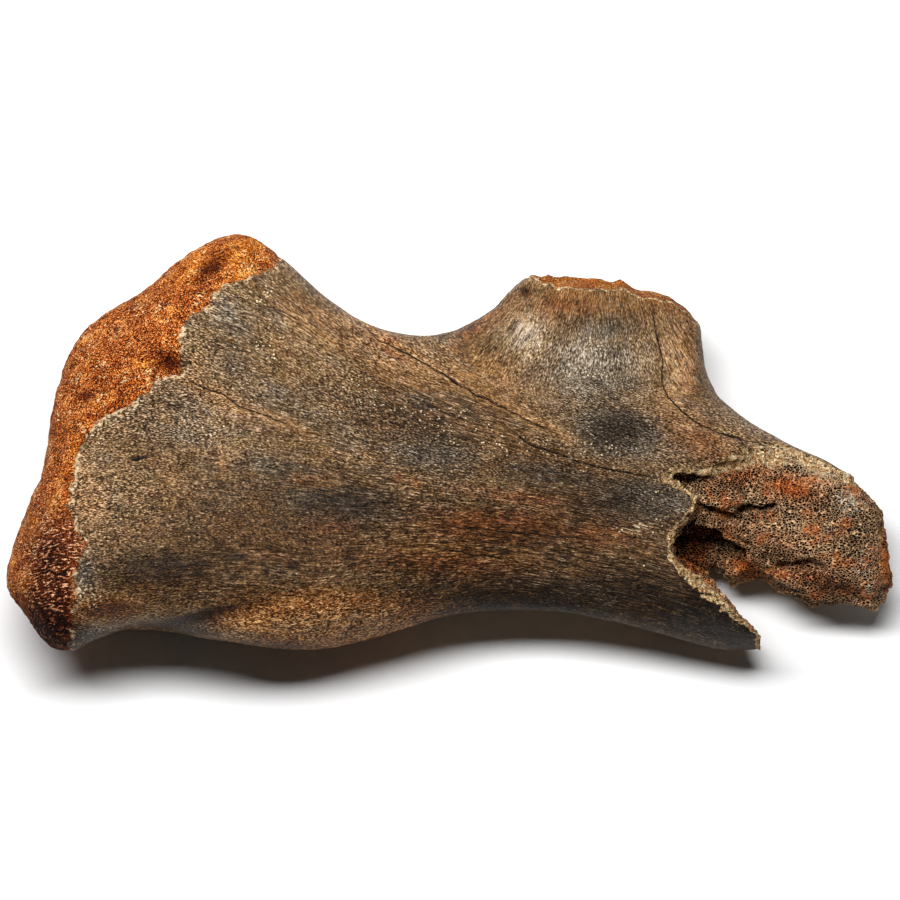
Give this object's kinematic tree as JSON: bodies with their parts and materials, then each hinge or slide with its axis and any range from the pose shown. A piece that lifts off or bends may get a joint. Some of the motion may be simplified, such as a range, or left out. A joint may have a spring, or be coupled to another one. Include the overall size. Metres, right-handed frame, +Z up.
{
  "type": "fossil thigh bone fragment",
  "caption": "Upper part of a fossil rhinoceros thigh bone, broken across the shaft, lying on its rear face with its worn spongy end bare.",
  "frame": {"origin": "on the ground, under the middle of the bone's box as it lies on its rear face", "axes": "+X along the bone from the worn upper end to the broken shaft, +Y towards the outer side with the greater and third trochanters, +Z up through the front face"},
  "size_m": [0.3628, 0.1932, 0.0773],
  "materials": {
    "fossil_bone": "mineralised bone: satin brown and slate-grey cortex with fine grain, matt rust-orange spongy bone where it is worn or broken"
  },
  "bodies": {
    "root": {"bone": "fossil_bone"}
  },
  "joints": []
}
